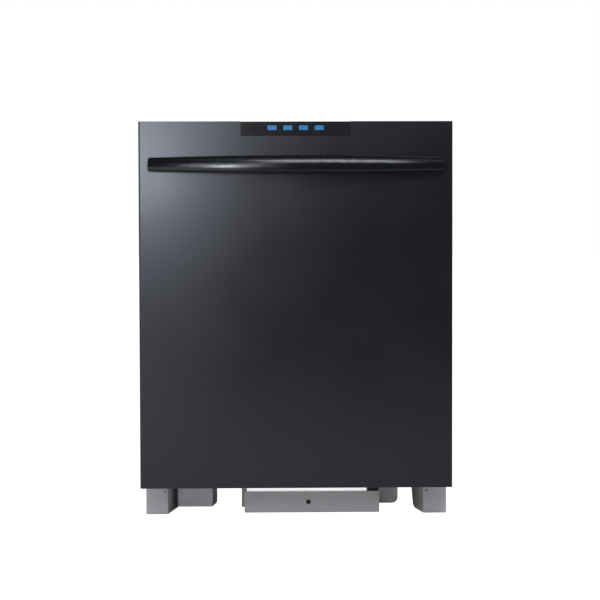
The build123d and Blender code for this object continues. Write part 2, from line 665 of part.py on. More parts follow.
def base_side(side, with_step):
    """Moulded runner along one side: a front and a rear leg block, a web and the tub's ledge."""
    low = 0.6
    inner_front, inner_rear = 254.0, 237.0
    outer = CABINET_HALF - (STEP_SIDE_INSET if with_step else 0.0)
    slant_y, block_rear = -72.0, -60.0
    corners = [(outer, BLOCK_FRONT), (inner_front, BLOCK_FRONT), (inner_rear, slant_y),
               (inner_rear, block_rear), (outer, block_rear)]
    front = Pos(0, 0, low) * extrude(make_face(Polyline(*corners, close=True)), BLOCK_TOP - low)
    front = fillet(upright(front.edges()).sort_by(Axis.Y)[:2], 2.5)
    rear = block(inner_rear, CABINET_HALF, LEG_YS[1] - 35, BASE_REAR, low, BLOCK_TOP)
    web = block(*WEB_X, BLOCK_FRONT + 2, BASE_REAR, BLOCK_TOP - 12, LEDGE_TOP)
    ledge = block(262, WEB_X[1], BLOCK_FRONT + 2, BASE_REAR - 8, LEDGE_TOP - 11, LEDGE_TOP)
    plinth = block(284, CABINET_HALF, block_rear - 2, LEG_YS[1] - 33, 30, BLOCK_TOP)
    pieces = [front, rear, web, ledge, plinth]
    if with_step:
        step_low = 10.5
        outline = [(235.3, -140), (166.3, -140), (159, -85), (159, -56), (245, -56), (245, -92),
                   (235.3, -92)]
        step = Pos(0, 0, step_low) * extrude(make_face(Polyline(*outline, close=True)), BLOCK_TOP - step_low)
        pieces.append(step)
    runner = merged(pieces)
    if not with_step:
        # The bare inner face leans outwards towards its foot
        lean, reach = 5.5, 52
        draft = Polyline((inner_rear, BLOCK_TOP), (inner_rear - 1, 0), (inner_rear + lean, 0), close=True)
        runner = runner - extrude(Plane.XZ.offset(-block_rear - 1) * make_face(draft), reach)
    for y in LEG_YS:
        runner = runner - rod((LEG_X, y, -1), (LEG_X, y, BLOCK_TOP + 1), LEG_R + 0.08)
        runner = runner - rod((LEG_X, y, -1), (LEG_X, y, 8), FOOT_R + 1.0)
    dimple = rod((260, BLOCK_FRONT - 1, 46), (260, BLOCK_FRONT + 6, 46), 2.2)
    runner = runner - dimple
    return runner if side > 0 else runner.mirror(Plane.YZ)


def levelling_leg(side, y):
    """Leg with a hexagonal foot, screwed fully in."""
    x = side * LEG_X
    foot = Pos(x, y, 0) * extrude(RegularPolygon(FOOT_R, 6), 6.0)
    return merged([foot, rod((x, y, 0), (x, y, 128), LEG_R)])


def base_rear():
    """Rear wall of the base, with an arch for the hoses and the mains lead."""
    wall = block(-236.5, 236.5, BASE_REAR - 7, BASE_REAR, 12, 150)
    lip = block(-236.5, 236.5, BASE_REAR - 22, BASE_REAR - 6, 12, 18)
    arch = fillet(block(60, 130, BASE_REAR - 10, BASE_REAR + 3, 30, 76).edges().filter_by(Axis.Y), 14)
    return merged([wall, lip]) - arch


def front_crossmember():
    """Folded steel channel across the front, under the tub."""
    half, front, low, high = 261.5, -183.0, 100.0, 140.0
    face = block(-half, half, front, front + 2, low, high)
    top = block(-half, half, front, front + 33, high - 2, high)
    foot = block(-half, half, front, front + 18, low, low + 2)
    return merged([face, top, foot])


def access_plate():
    """Cover plate over the pumps, with bent side ears that reach back to the tray."""
    face = block(*PLATE_X, PLATE_Y, PLATE_Y + SHEET, *PLATE_Z)
    face = fillet(face.edges().filter_by(Axis.Y), 2.0)
    ears = [block(x, x + SHEET, PLATE_Y + 0.5, TRAY_Y[0] - 0.1, PLATE_Z[0] + 16, PLATE_Z[1] - 3)
            for x in (PLATE_X[0] + 3, PLATE_X[1] - 24.0)]
    hole = rod((SCREW_X, PLATE_Y - 1, SCREW_Z), (SCREW_X, PLATE_Y + 3, SCREW_Z), 3.0)
    return merged([face] + ears) - hole


def access_strip():
    """Bare metal stiffener behind the plate's upper edge, leaning forward a little."""
    back, lean, thick = PLATE_Y + 3.4, 1.5, 1.2
    low, high = PLATE_Z[1] - 2, PLATE_Z[1] + 8
    section = Polyline((back, low), (back - lean, high), (back + thick - lean, high), (back + thick, low),
                       close=True)
    return Pos(STRIP_X[0], 0, 0) * extrude(Plane.YZ * make_face(section), STRIP_X[1] - STRIP_X[0])


def access_fasteners():
    """The plate's screw and the clip at its upper right corner."""
    head = rod((SCREW_X, PLATE_Y - 1.6, SCREW_Z), (SCREW_X, PLATE_Y, SCREW_Z), 4.6)
    cross = block(SCREW_X - 3, SCREW_X + 3, PLATE_Y - 2, PLATE_Y - 0.9, SCREW_Z - 0.5, SCREW_Z + 0.5)
    shank = rod((SCREW_X, PLATE_Y - 0.5, SCREW_Z), (SCREW_X, PLATE_Y + 14, SCREW_Z), 2.6)
    screw = merged([head - cross, shank])
    clip = block(*CLIP_X, PLATE_Y + SHEET, PLATE_Y + 9, PLATE_Z[1] - 10, PLATE_Z[1] + 8)
    return [screw, fillet(clip.edges().filter_by(Axis.Y), 1.5)]


def pump_cover():
    """Open moulded tray that holds the pumps."""
    wall, high, corner = 3.0, 60.0, 12.0
    tray = block(*TRAY_X, *TRAY_Y, TRAY_LOW, high)
    tray = fillet(tray.edges().filter_by(Axis.Y).sort_by(Axis.Z)[:2], corner)
    inside = block(TRAY_X[0] + wall, TRAY_X[1] - wall, TRAY_Y[0] + wall, TRAY_Y[1] - wall,
                   TRAY_LOW + wall, high + 1)
    inside = fillet(inside.edges().filter_by(Axis.Y).sort_by(Axis.Z)[:2], corner - wall)
    lip = block(TRAY_X[0], TRAY_X[0] + 9, TRAY_Y[0], TRAY_Y[0] + wall, 7.8, TRAY_LOW + corner + 2)
    return merged([tray - inside, lip])


def circulation_pump():
    """Motor with cooling ribs, a volute and an upright outlet."""
    y, z = -72.0, 62.0
    motor = rod((-92, y, z), (-10, y, z), 36)
    ribs = [rod((x, y, z), (x + 3, y, z), 39) for x in steps(-80, -25, 5)]
    volute = rod((-12, y, z), (26, y, z), 42)
    outlet = rod((8, y, z), (8, y, 118), 15)
    return merged([motor, volute, outlet] + ribs)


def drain_pump():
    """Small motor and chamber, with the spigot that a drain hose goes on."""
    y = -62.0
    motor = rod((84, y, DRAIN_Z), (150, y, DRAIN_Z), 24)
    cap = rod((150, y, DRAIN_Z), (158, y, DRAIN_Z), 16)
    spigot = rod((DRAIN_X, y, DRAIN_Z), (DRAIN_X, y + 62, DRAIN_Z), DRAIN_R)
    collar = rod((DRAIN_X, y + 20, DRAIN_Z), (DRAIN_X, y + 30, DRAIN_Z), 13)
    bore = rod((DRAIN_X, y + 32, DRAIN_Z), (DRAIN_X, y + 63, DRAIN_Z), 6.5)
    return merged([motor, cap, spigot, collar]) - bore


def inlet_valve():
    """Solenoid valve on a bracket, with a threaded inlet that faces the front."""
    front = -52.0
    body = block(INLET_X - 20, INLET_X + 20, front, front + 44, INLET_Z - 18, INLET_Z + 18)
    body = fillet(body.edges().filter_by(Axis.Y), 5.0)
    coil = rod((INLET_X, front + 22, INLET_Z + 16), (INLET_X, front + 22, INLET_Z + 44), 15)
    collar = rod((INLET_X, front - 14, INLET_Z), (INLET_X, front + 1, INLET_Z), 14)
    arm = block(-WEB_X[0], INLET_X - 18, front + 12, front + 32, INLET_Z - 2, INLET_Z + 2)
    bore = rod((INLET_X, front - 15, INLET_Z), (INLET_X, front + 2, INLET_Z), INLET_R)
    return merged([body, coil, collar, arm]) - bore


def junction_box():
    """Steel wiring box with a round cable hole in its front."""
    x0, x1, y0, y1, z0, z1 = 210.0, WEB_X[0], -124.0, -66.0, 66.0, 118.0
    wall = 2.0
    box = block(x0, x1, y0, y1, z0, z1)
    inside = block(x0 + wall, x1 - wall, y0 + wall, y1 - wall, z0 + wall, z1 - wall)
    hole = rod((CABLE_X, y0 - 1, CABLE_Z), (CABLE_X, y0 + wall + 1, CABLE_Z), CABLE_R)
    return box - inside - hole


def hinge_brackets():
    """Plates on the base's sides, each with the hole that a door pin turns in."""
    rear, half_high = -100.0, 12.0
    strap = block(*BRACKET_X, HINGE_Y, rear, HINGE_Z - half_high, HINGE_Z + half_high)
    nose = rod((BRACKET_X[0], HINGE_Y, HINGE_Z), (BRACKET_X[1], HINGE_Y, HINGE_Z), half_high)
    hole = rod((BRACKET_X[0] - 1, HINGE_Y, HINGE_Z), (BRACKET_X[1] + 1, HINGE_Y, HINGE_Z), PIVOT_R + RUN)
    return both_sides(merged([strap, nose]) - hole)


def door_springs():
    """The door's two balance springs, in the base beside the tub, as plain sleeves with end eyes."""
    coil_r, wire_r = 8.0, 1.6
    sleeve = tube((SPRING_X, SPRING_Y[0], SPRING_Z), (SPRING_X, SPRING_Y[1], SPRING_Z), coil_r, coil_r - 2.5)
    eyes = []
    for y, out in ((SPRING_Y[0], -1), (SPRING_Y[1], 1)):
        eyes.append(rod((SPRING_X, y - out, SPRING_Z + coil_r - 1.5),
                        (SPRING_X, y + out * 14, SPRING_Z + coil_r - 1.5), wire_r))
    return both_sides(merged([sleeve] + eyes))


def main():
    os.makedirs("parts", exist_ok=True)
    save("door_outer_panel", door_outer_panel())
    save("door_inner_liner", door_inner_liner())
    save("control_strip", control_strip())
    save("status_window", status_window())
    save("status_lights", status_lights())
    for number, x in enumerate(KEY_XS, start=1):
        save(f"key_{number}", key(x))
    bar = door_handle()
    save("door_handle", bar)
    save("handle_posts", handle_posts(bar))
    save("hinge_arms", hinge_arms())
    save("dispenser", dispenser())
    save("detergent_lid", detergent_lid())
    save("rinse_cap", rinse_cap())
    save("door_vent", door_vent())
    save("door_latch", door_latch())
    save("tub_wrapper", tub_wrapper())
    save("tub_back", tub_back())
    save("tub_floor", tub_floor())
    save("tub_flange", tub_flange())
    save("door_gasket", door_gasket())
    save("damping_blanket", damping_blanket())
    save("sump", sump())
    save("fine_filter", fine_filter())
    save("coarse_filter", coarse_filter())
    save("lower_spray_arm", spray_arm(205.0, ARM_LOW_Z + CLEAR, 46.0))
    save("middle_spray_arm", spray_arm(190.0, ARM_MID_Z, 42.0))
    save("top_spray_arm", spray_arm(120.0, ARM_TOP_Z, 38.0))
    save("heating_element", heating_element())
    save("feed_tube", feed_tube())
    save("upper_rack_feed", upper_rack_feed())
    save("rack_rails", rack_rails())
    save("upper_rail_slides", upper_rail_slides())
    save("latch_strike", latch_strike())
    save("counter_brackets", counter_brackets())
    save("lower_rack_basket", lower_rack_basket())
    save("front_wheels", wheel_pair(WHEEL_YS[0]))
    save("rear_wheels", wheel_pair(WHEEL_YS[1]))
    save("silverware_basket", silverware_basket())
    save("upper_rack_basket", upper_rack_basket())
    save("base_side_left", base_side(-1, with_step=True))
    save("base_side_right", base_side(1, with_step=False))
    save("base_rear", base_rear())
    save("front_crossmember", front_crossmember())
    for side, side_name in ((-1, "left"), (1, "right")):
        for y, end_name in zip(LEG_YS, ("front", "rear")):
            save(f"leg_{end_name}_{side_name}", levelling_leg(side, y))
    save("access_plate", access_plate())
    save("access_strip", access_strip())
    save("access_fasteners", access_fasteners())
    save("pump_cover", pump_cover())
    save("circulation_pump", circulation_pump())
    save("drain_pump", drain_pump())
    save("inlet_valve", inlet_valve())
    save("junction_box", junction_box())
    save("hinge_brackets", hinge_brackets())
    save("door_springs", door_springs())


main()
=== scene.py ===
import json
import math

import bpy
from mathutils import Matrix, Vector


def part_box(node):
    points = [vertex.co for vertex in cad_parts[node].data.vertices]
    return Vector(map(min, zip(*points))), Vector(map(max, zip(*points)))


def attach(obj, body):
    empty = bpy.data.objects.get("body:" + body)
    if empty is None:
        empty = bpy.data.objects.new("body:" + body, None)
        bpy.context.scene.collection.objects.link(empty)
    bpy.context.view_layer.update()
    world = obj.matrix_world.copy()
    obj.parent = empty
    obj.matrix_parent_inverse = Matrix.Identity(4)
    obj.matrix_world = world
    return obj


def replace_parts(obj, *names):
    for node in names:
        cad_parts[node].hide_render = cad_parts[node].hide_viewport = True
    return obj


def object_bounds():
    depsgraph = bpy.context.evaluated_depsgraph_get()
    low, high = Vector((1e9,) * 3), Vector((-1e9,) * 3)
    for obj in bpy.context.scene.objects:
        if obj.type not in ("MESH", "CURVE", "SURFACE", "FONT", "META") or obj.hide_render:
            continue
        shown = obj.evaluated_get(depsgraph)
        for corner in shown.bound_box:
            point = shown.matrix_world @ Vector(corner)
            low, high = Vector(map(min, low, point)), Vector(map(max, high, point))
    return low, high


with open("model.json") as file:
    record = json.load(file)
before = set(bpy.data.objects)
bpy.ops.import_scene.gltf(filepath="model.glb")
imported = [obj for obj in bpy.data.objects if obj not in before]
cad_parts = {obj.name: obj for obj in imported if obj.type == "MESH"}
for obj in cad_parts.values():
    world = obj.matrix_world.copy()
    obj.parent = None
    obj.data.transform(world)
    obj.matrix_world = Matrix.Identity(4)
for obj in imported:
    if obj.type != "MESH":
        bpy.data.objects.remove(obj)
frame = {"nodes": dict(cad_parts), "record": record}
bpy.context.scene.view_settings.view_transform = "Standard"
CAD_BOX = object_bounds()
NODES = frame["nodes"]

FLOOR_Z = CAD_BOX[0].z
DOOR_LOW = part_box("door_outer_panel")[0]
DOOR_FACE_Y = DOOR_LOW.y

# Spray arms: the width of each one's blades, and the jets in them
ARM_WIDTHS = {"lower_spray_arm": 0.046, "middle_spray_arm": 0.042, "top_spray_arm": 0.038}
BLADE_TOP = 0.011                       # over the arm's lowest point
JETS_PER_BLADE = 5
FIRST_JET, JET_STEP = 0.30, 0.155       # as shares of the arm's reach

# Ribs on the base mouldings, from the top of the leg blocks to the underside of the ledge
WEB_X, RIB_EDGE_X = 0.2955, 0.2990
RIB_LOW_Z = 0.0618
LEDGE_THICKNESS = 0.0110
RIB_COUNT = 8
FIRST_RIB_Y, RIB_PITCH, RIB_HALF = -0.065, 0.048, 0.0011

# ---------------------------------------------------------------- camera and light


def look(forward_yaw, pitch_down, roll):
    """Rotation of a camera that looks along +Y, turned by three angles in degrees."""
    yaw, pitch, tilt = (math.radians(v) for v in (forward_yaw, pitch_down, roll))
    level = Matrix.Rotation(math.pi / 2, 3, "X")
    turned = Matrix.Rotation(-yaw, 3, "Z") @ level @ Matrix.Rotation(-pitch, 3, "X")
    return (turned @ Matrix.Rotation(tilt, 3, "Z")).to_4x4()


def make_camera():
    """Long lens in front of the door, a little left of its middle and above its mid-height."""
    data = bpy.data.cameras.new("camera")
    distance, left, up = 3.6, 0.066, 0.510
    data.sensor_width = 36.0
    data.lens = 111.84
    data.clip_start, data.clip_end = 0.05, 60.0
    camera = bpy.data.objects.new("camera", data)
    place = Vector((-left, DOOR_FACE_Y - distance, DOOR_LOW.z + up))
    camera.matrix_world = Matrix.Translation(place) @ look(1.17, 2.30, -0.15)
    bpy.context.scene.collection.objects.link(camera)
    bpy.context.scene.camera = camera


def area_light(name, place, target, size, power, size_y=None):
    """A white soft box that faces a target and is hidden from the camera."""
    data = bpy.data.lights.new(name, "AREA")
    data.shape = "RECTANGLE"
    data.size, data.size_y = size, size_y or size
    data.energy = power
    light = bpy.data.objects.new(name, data)
    light.location = place
    light.rotation_mode = "QUATERNION"
    light.rotation_quaternion = (Vector(target) - Vector(place)).to_track_quat("-Z", "Y")
    light.visible_camera = False
    bpy.context.scene.collection.objects.link(light)


def make_world():
    """White studio to look at, and a dim one to light by that is brighter behind the object."""
    world = bpy.data.worlds.new("studio")
    bpy.context.scene.world = world
    world.use_nodes = True
    tree = world.node_tree
    tree.nodes.clear()
    out = tree.nodes.new("ShaderNodeOutputWorld")
    mix = tree.nodes.new("ShaderNodeMixShader")
    ray = tree.nodes.new("ShaderNodeLightPath")
    seen = tree.nodes.new("ShaderNodeBackground")
    seen.inputs["Color"].default_value = (1, 1, 1, 1)
    lit = tree.nodes.new("ShaderNodeBackground")
    lit.inputs["Strength"].default_value = 0.3
    ramp = tree.nodes.new("ShaderNodeValToRGB")
    place = tree.nodes.new("ShaderNodeTexCoord")
    split = tree.nodes.new("ShaderNodeSeparateXYZ")
    scale = tree.nodes.new("ShaderNodeMapRange")
    scale.inputs["From Min"].default_value = -1.0
    tree.links.new(place.outputs["Generated"], split.inputs[0])
    tree.links.new(split.outputs["Y"], scale.inputs["Value"])
    tree.links.new(scale.outputs[0], ramp.inputs["Fac"])
    ramp.color_ramp.elements[0].color = (0.25, 0.25, 0.26, 1)
    ramp.color_ramp.elements[1].color = (0.38, 0.38, 0.38, 1)
    tree.links.new(ramp.outputs[0], lit.inputs["Color"])
    tree.links.new(ray.outputs["Is Camera Ray"], mix.inputs[0])
    tree.links.new(lit.outputs[0], mix.inputs[1])
    tree.links.new(seen.outputs[0], mix.inputs[2])
    tree.links.new(mix.outputs[0], out.inputs[0])


def make_floor():
    """Seamless floor: nearly all white glow to the camera, diffuse paper to every other ray."""
    half = 30.0
    below = 0.0006
    mesh = bpy.data.meshes.new("floor")
    corners = [(-half, -half), (half, -half), (half, half), (-half, half)]
    mesh.from_pydata([(x, y, FLOOR_Z - below) for x, y in corners], [], [(0, 1, 2, 3)])
    floor = bpy.data.objects.new("floor", mesh)
    bpy.context.scene.collection.objects.link(floor)
    material = bpy.data.materials.new("floor")
    material.use_nodes = True
    tree = material.node_tree
    tree.nodes.clear()
    out = tree.nodes.new("ShaderNodeOutputMaterial")
    ray = tree.nodes.new("ShaderNodeLightPath")
    mix = tree.nodes.new("ShaderNodeMixShader")
    paper = tree.nodes.new("ShaderNodeBsdfDiffuse")
    paper.inputs["Color"].default_value = (0.82, 0.82, 0.83, 1)
    glow = tree.nodes.new("ShaderNodeEmission")
    glow.inputs["Strength"].default_value = 1.25
    share = tree.nodes.new("ShaderNodeMath")
    share.operation = "MULTIPLY"
    share.inputs[1].default_value = 0.93
    tree.links.new(ray.outputs["Is Camera Ray"], share.inputs[0])
    tree.links.new(share.outputs[0], mix.inputs[0])
    tree.links.new(paper.outputs[0], mix.inputs[1])
    tree.links.new(glow.outputs[0], mix.inputs[2])
    tree.links.new(mix.outputs[0], out.inputs[0])
    mesh.materials.append(material)


make_camera()
make_world()
make_floor()
area_light("softbox_main", (-0.42, -1.60, 0.92), (0, -0.26, 0.55), 0.50, 2.9)
area_light("hot_strip", (-0.41, -1.60, 0.77), (0, -0.26, 0.69), 0.12, 3.1, size_y=0.30)
area_light("wide_left", (-0.85, -1.35, 0.36), (0, -0.26, 0.30), 1.4, 3.1, size_y=0.64)
area_light("streak_panel", (0.30, -1.88, 1.84), (0, -0.30, 0.69), 1.15, 25, size_y=0.80)
area_light("overhead_right", (0.75, -1.05, 2.10), (0.1, -0.28, 0.69), 1.1, 1.0, size_y=0.5)
area_light("base_fill", (0, -0.262, 0.005), (0, -0.17, 0.035), 0.46, 0.026, size_y=0.008)
area_light("floor_wash", (0.1, -1.50, 2.40), (0.1, -1.3, 0), 1.6, 3.5)
area_light("back_left", (-1.9, 2.0, 2.6), (0, 0, 0.4), 1.3, 55)
area_light("back_right", (2.1, 1.6, 1.6), (0, 0, 0.4), 1.3, 40)

# ---------------------------------------------------------------- materials


class Shader:
    """A principled material whose detail comes from textures in the piece's own coordinates."""

    def __init__(self, name, colour, rough, metallic=0.0, **sockets):
        self.material = bpy.data.materials.new(name)
        self.material.use_nodes = True
        self.tree = self.material.node_tree
        self.shader = self.tree.nodes["Principled BSDF"]
        self.shader.inputs["Base Color"].default_value = (*colour, 1)
        self.shader.inputs["Roughness"].default_value = rough
        self.shader.inputs["Metallic"].default_value = metallic
        for socket, value in sockets.items():
            self.shader.inputs[socket.replace("_", " ")].default_value = value
        self.colour, self.rough = colour, rough
        self.place = self.tree.nodes.new("ShaderNodeTexCoord").outputs["Object"]
        self.normal = None

    def node(self, kind, **inputs):
        """A new shader node with some of its inputs set."""
        node = self.tree.nodes.new(kind)
        for key, value in inputs.items():
            node.inputs[key.replace("_", " ")].default_value = value
        return node

    def noise(self, scale, detail=3.0, stretch=(1, 1, 1)):
        """Noise whose features are about 1/scale metres, stretched along an axis by a small factor."""
        mapping = self.node("ShaderNodeMapping", Scale=stretch)
        self.tree.links.new(self.place, mapping.inputs["Vector"])
        noise = self.node("ShaderNodeTexNoise", Scale=scale, Detail=detail)
        self.tree.links.new(mapping.outputs[0], noise.inputs["Vector"])
        return noise.outputs["Fac"]

    def cells(self, scale):
        """Distance to the nearest of many scattered points, about 1/scale metres apart."""
        cell = self.node("ShaderNodeTexVoronoi", Scale=scale)
        self.tree.links.new(self.place, cell.inputs["Vector"])
        return cell.outputs["Distance"]

    def between(self, source, low, high, start=0.3, end=0.7):
        """The source mapped to a range of values."""
        span = self.node("ShaderNodeMapRange")
        for socket, value in zip(("From Min", "From Max", "To Min", "To Max"), (start, end, low, high)):
            span.inputs[socket].default_value = value
        self.tree.links.new(source, span.inputs["Value"])
        return span.outputs[0]

    def vary_rough(self, source, spread):
        """Roughness that wanders about its middle value."""
        out = self.between(source, max(0.02, self.rough - spread), self.rough + spread)
        self.tree.links.new(out, self.shader.inputs["Roughness"])
        return self

    def vary_colour(self, source, other, start=0.3, end=0.7):
        """Colour that wanders between the base colour and another."""
        ramp = self.node("ShaderNodeValToRGB")
        low, high = ramp.color_ramp.elements
        low.position, high.position = start, end
        low.color, high.color = (*self.colour, 1), (*other, 1)
        self.tree.links.new(source, ramp.inputs["Fac"])
        self.tree.links.new(ramp.outputs["Color"], self.shader.inputs["Base Color"])
        return self

    def bump(self, source, height, strength=1.0):
        """Relief of that height in metres; several stack."""
        bump = self.node("ShaderNodeBump", Strength=strength, Distance=height)
        self.tree.links.new(source, bump.inputs["Height"])
        if self.normal:
            self.tree.links.new(self.normal, bump.inputs["Normal"])
        self.normal = bump.outputs[0]
        self.tree.links.new(self.normal, self.shader.inputs["Normal"])
        return self


def enamel():
    """Satin black enamel on the door: fine orange peel, with faint soft unevenness in its sheen."""
    s = Shader("enamel_black", (0.0011, 0.0012, 0.0017), 0.29, Specular_IOR_Level=0.62,
               Specular_Tint=(0.80, 0.85, 1.0, 1))
    s.vary_rough(s.noise(7, 2), 0.02)
    s.vary_colour(s.noise(900, 2), (0.0018, 0.0020, 0.0027))
    return s.bump(s.noise(420, 2), 0.00002, 0.35).material


def gloss_black(name, rough=0.17):
    """Polished black moulding with the faintest ripple."""
    s = Shader(name, (0.0030, 0.0036, 0.0046), rough, Specular_IOR_Level=0.40,
               Specular_Tint=(0.90, 0.94, 1.0, 1))
    s.vary_rough(s.noise(30, 4), rough * 0.15)
    s.vary_colour(s.noise(600, 2), (0.0050, 0.0058, 0.0068))
    return s.bump(s.noise(60, 2), 0.00002, 0.15).material


def moulded(name, colour, rough=0.5, grain=1400, relief=0.00004):
    """Moulded plastic with a spark-eroded grain and slight flow mottling."""
    s = Shader(name, colour, rough)
    s.vary_rough(s.noise(60, 3), 0.06)
    darker = tuple(c * 0.86 for c in colour)
    s.vary_colour(s.noise(26, 5), darker, 0.25, 0.8)
    s.bump(s.noise(grain, 2), relief, 0.5)
    return s.bump(s.noise(18, 2), 0.0002, 0.2).material


def brushed(name, colour, rough, along, fine=2200.0, relief=0.000004):
    """Brushed steel: hair lines that run along one axis."""
    stretch = tuple(0.012 if axis == along else 1.0 for axis in "XYZ")
    s = Shader(name, colour, rough, 1.0)
    lines = s.noise(fine, 4, stretch)
    s.vary_rough(lines, 0.04)
    s.vary_colour(s.noise(fine / 1.5, 3, stretch), tuple(c * 0.92 for c in colour))
    return s.bump(lines, relief, 0.35).material


def spangled(name, colour, rough=0.38):
    """Zinc-coated steel with crystal spangle."""
    s = Shader(name, colour, rough, 1.0)
    s.vary_rough(s.cells(150), 0.1)
    s.vary_colour(s.cells(110), tuple(c * 0.78 for c in colour), 0.1, 0.8)
    return s.bump(s.noise(500, 3), 0.00001, 0.4).material


def rubber():
    """Matt black rubber with a fine tooth."""
    s = Shader("rubber_black", (0.016, 0.016, 0.017), 0.62)
    s.vary_rough(s.noise(90, 4), 0.08)
    s.vary_colour(s.noise(40, 4), (0.026, 0.026, 0.027))
    return s.bump(s.noise(1100, 2), 0.00005, 0.5).material


def felt():
    """Bitumen-backed fibre pad: matted fibres over a lumpy face."""
    s = Shader("felt", (0.020, 0.020, 0.022), 0.93, Sheen_Weight=0.25, Sheen_Roughness=0.5)
    s.vary_colour(s.noise(340, 6, (1, 1, 0.4)), (0.070, 0.069, 0.070), 0.35, 0.75)
    s.bump(s.noise(600, 5, (1, 1, 0.3)), 0.0005, 0.8)
    return s.bump(s.noise(22, 3), 0.002, 0.35).material


def coated_wire():
    """Blue-grey nylon coating on the racks' wires."""
    s = Shader("rack_coat", (0.23, 0.25, 0.29), 0.34)
    s.vary_rough(s.noise(160, 3), 0.07)
    s.vary_colour(s.noise(70, 3), (0.19, 0.21, 0.25))
    return s.bump(s.noise(700, 2), 0.00003, 0.4).material


def smoked_window():
    """Smoked plate with a very faint vertical grain."""
    s = Shader("window_smoke", (0.010, 0.011, 0.013), 0.16, Specular_IOR_Level=0.28)
    s.vary_rough(s.noise(200, 3), 0.02)
    s.vary_colour(s.noise(800, 2, (1, 1, 0.1)), (0.014, 0.015, 0.018))
    return s.bump(s.noise(500, 2), 0.00001, 0.3).material


def lit_lens():
    """Blue lens lit from behind, with fine bright dots scattered over it."""
    s = Shader("lens_blue", (0.006, 0.05, 0.13), 0.3)
    dots = s.cells(700)
    glow = s.node("ShaderNodeValToRGB")
    glow.color_ramp.elements[0].color = (0.012, 0.250, 0.560, 1)
    glow.color_ramp.elements[1].color = (0.004, 0.110, 0.300, 1)
    s.tree.links.new(dots, glow.inputs["Fac"])
    s.tree.links.new(glow.outputs["Color"], s.shader.inputs["Emission Color"])
    s.shader.inputs["Emission Strength"].default_value = 0.62
    s.vary_rough(s.noise(300, 2), 0.05)
    return s.bump(dots, 0.00004, 0.4).material


def painted_glow_strip():
    """Bright pale strip, hardly brushed, with a painted glow: its emission is painted light that stands
    for the light it catches.
    """
    s = Shader("bright_steel", (0.95, 0.95, 0.96), 0.24, 0.2)
    # painted light: this emission makes the strip glow as if lit, though it is no lamp
    s.shader.inputs["Emission Color"].default_value = (0.97, 0.98, 1.0, 1)
    s.shader.inputs["Emission Strength"].default_value = 0.38
    s.vary_rough(s.noise(240, 3, (0.05, 1, 1)), 0.05)
    s.vary_colour(s.noise(140, 3, (0.05, 1, 1)), (0.89, 0.895, 0.91))
    return s.bump(s.noise(500, 2, (0.03, 1, 1)), 0.00001, 0.4).material


def oxidised_steel():
    """Heater tube, darkened in patches by heat."""
    s = Shader("element_steel", (0.24, 0.235, 0.24), 0.45, 1.0)
    s.vary_rough(s.noise(120, 4), 0.12)
    s.vary_colour(s.noise(55, 4), (0.13, 0.12, 0.125))
    return s.bump(s.noise(900, 3), 0.00003, 0.5).material


MATERIALS = {
    "door_black": enamel(),
    "stainless": brushed("stainless_brushed", (0.60, 0.60, 0.61), 0.30, "Z"),
    "black_plastic": moulded("black_plastic", (0.014, 0.014, 0.016), 0.34, 1600, 0.00002),
    "window_smoke": smoked_window(),
    "lens_blue": lit_lens(),
    "handle_black": gloss_black("handle_black"),
    "base_grey": moulded("base_grey", (0.57, 0.578, 0.605), 0.5),
    "plate_grey": moulded("plate_grey", (0.46, 0.466, 0.486), 0.42, 900, 0.00002),
    # the access strip's finish carries a painted glow (emission used as painted light)
    "bright_steel": painted_glow_strip(),
    "dark_zinc": spangled("dark_zinc", (0.030, 0.030, 0.034), 0.45),
    "galvanised": spangled("galvanised", (0.56, 0.57, 0.59)),
    "rubber_black": rubber(),
    "felt": felt(),
    "rack_coat": coated_wire(),
    "grey_plastic": moulded("grey_plastic", (0.34, 0.35, 0.365), 0.4),
    "pump_black": moulded("pump_black", (0.022, 0.022, 0.025), 0.45),
    "element_steel": oxidised_steel(),
    "blue_grey_plastic": moulded("blue_grey_plastic", (0.13, 0.16, 0.215), 0.4),
}


def paint_nodes():
    """Give every CAD node the procedural material of its record slot."""
    slots = {row["node"]: row["material_slot"] for row in frame["record"]["subparts"]}
    for name, node in NODES.items():
        node.data.materials.clear()
        node.data.materials.append(MATERIALS[slots[name]])


# ---------------------------------------------------------------- detail pieces


def piece(name, parts, body, slot):
    """One mesh object out of (vertices, faces) pairs. It rides on a body and wears a slot's finish."""
    verts, faces = [], []
    for part_verts, part_faces in parts:
        start = len(verts)
        verts.extend(part_verts)
        faces.extend(tuple(start + i for i in face) for face in part_faces)
    mesh = bpy.data.meshes.new(name)
    mesh.from_pydata(verts, [], faces)
    mesh.update()
    mesh.polygons.foreach_set("use_smooth", [True] * len(mesh.polygons))
    mesh.set_sharp_from_angle(angle=math.radians(40))
    mesh.materials.append(MATERIALS[slot])
    obj = bpy.data.objects.new(name, mesh)
    bpy.context.scene.collection.objects.link(obj)
    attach(obj, body)
    return obj


def swept(points, radius, sides):
    """Round wire through points, closed at both ends."""
    points = [Vector(p) for p in points]
    side = None
    verts, faces = [], []
    for i, point in enumerate(points):
        ahead = (points[min(i + 1, len(points) - 1)] - points[max(i - 1, 0)]).normalized()
        if side is None:
            side = ahead.orthogonal()
        side = (side - ahead * side.dot(ahead)).normalized()
        up = ahead.cross(side)
        for k in range(sides):
            turn = 2 * math.pi * k / sides
            verts.append(point + (side * math.cos(turn) + up * math.sin(turn)) * radius)
    for i in range(len(points) - 1):
        for k in range(sides):
            a, b = i * sides + k, i * sides + (k + 1) % sides
            faces.append((a, b, b + sides, a + sides))
    faces.append(tuple(reversed(range(sides))))
    faces.append(tuple(range(len(verts) - sides, len(verts))))
    return verts, faces


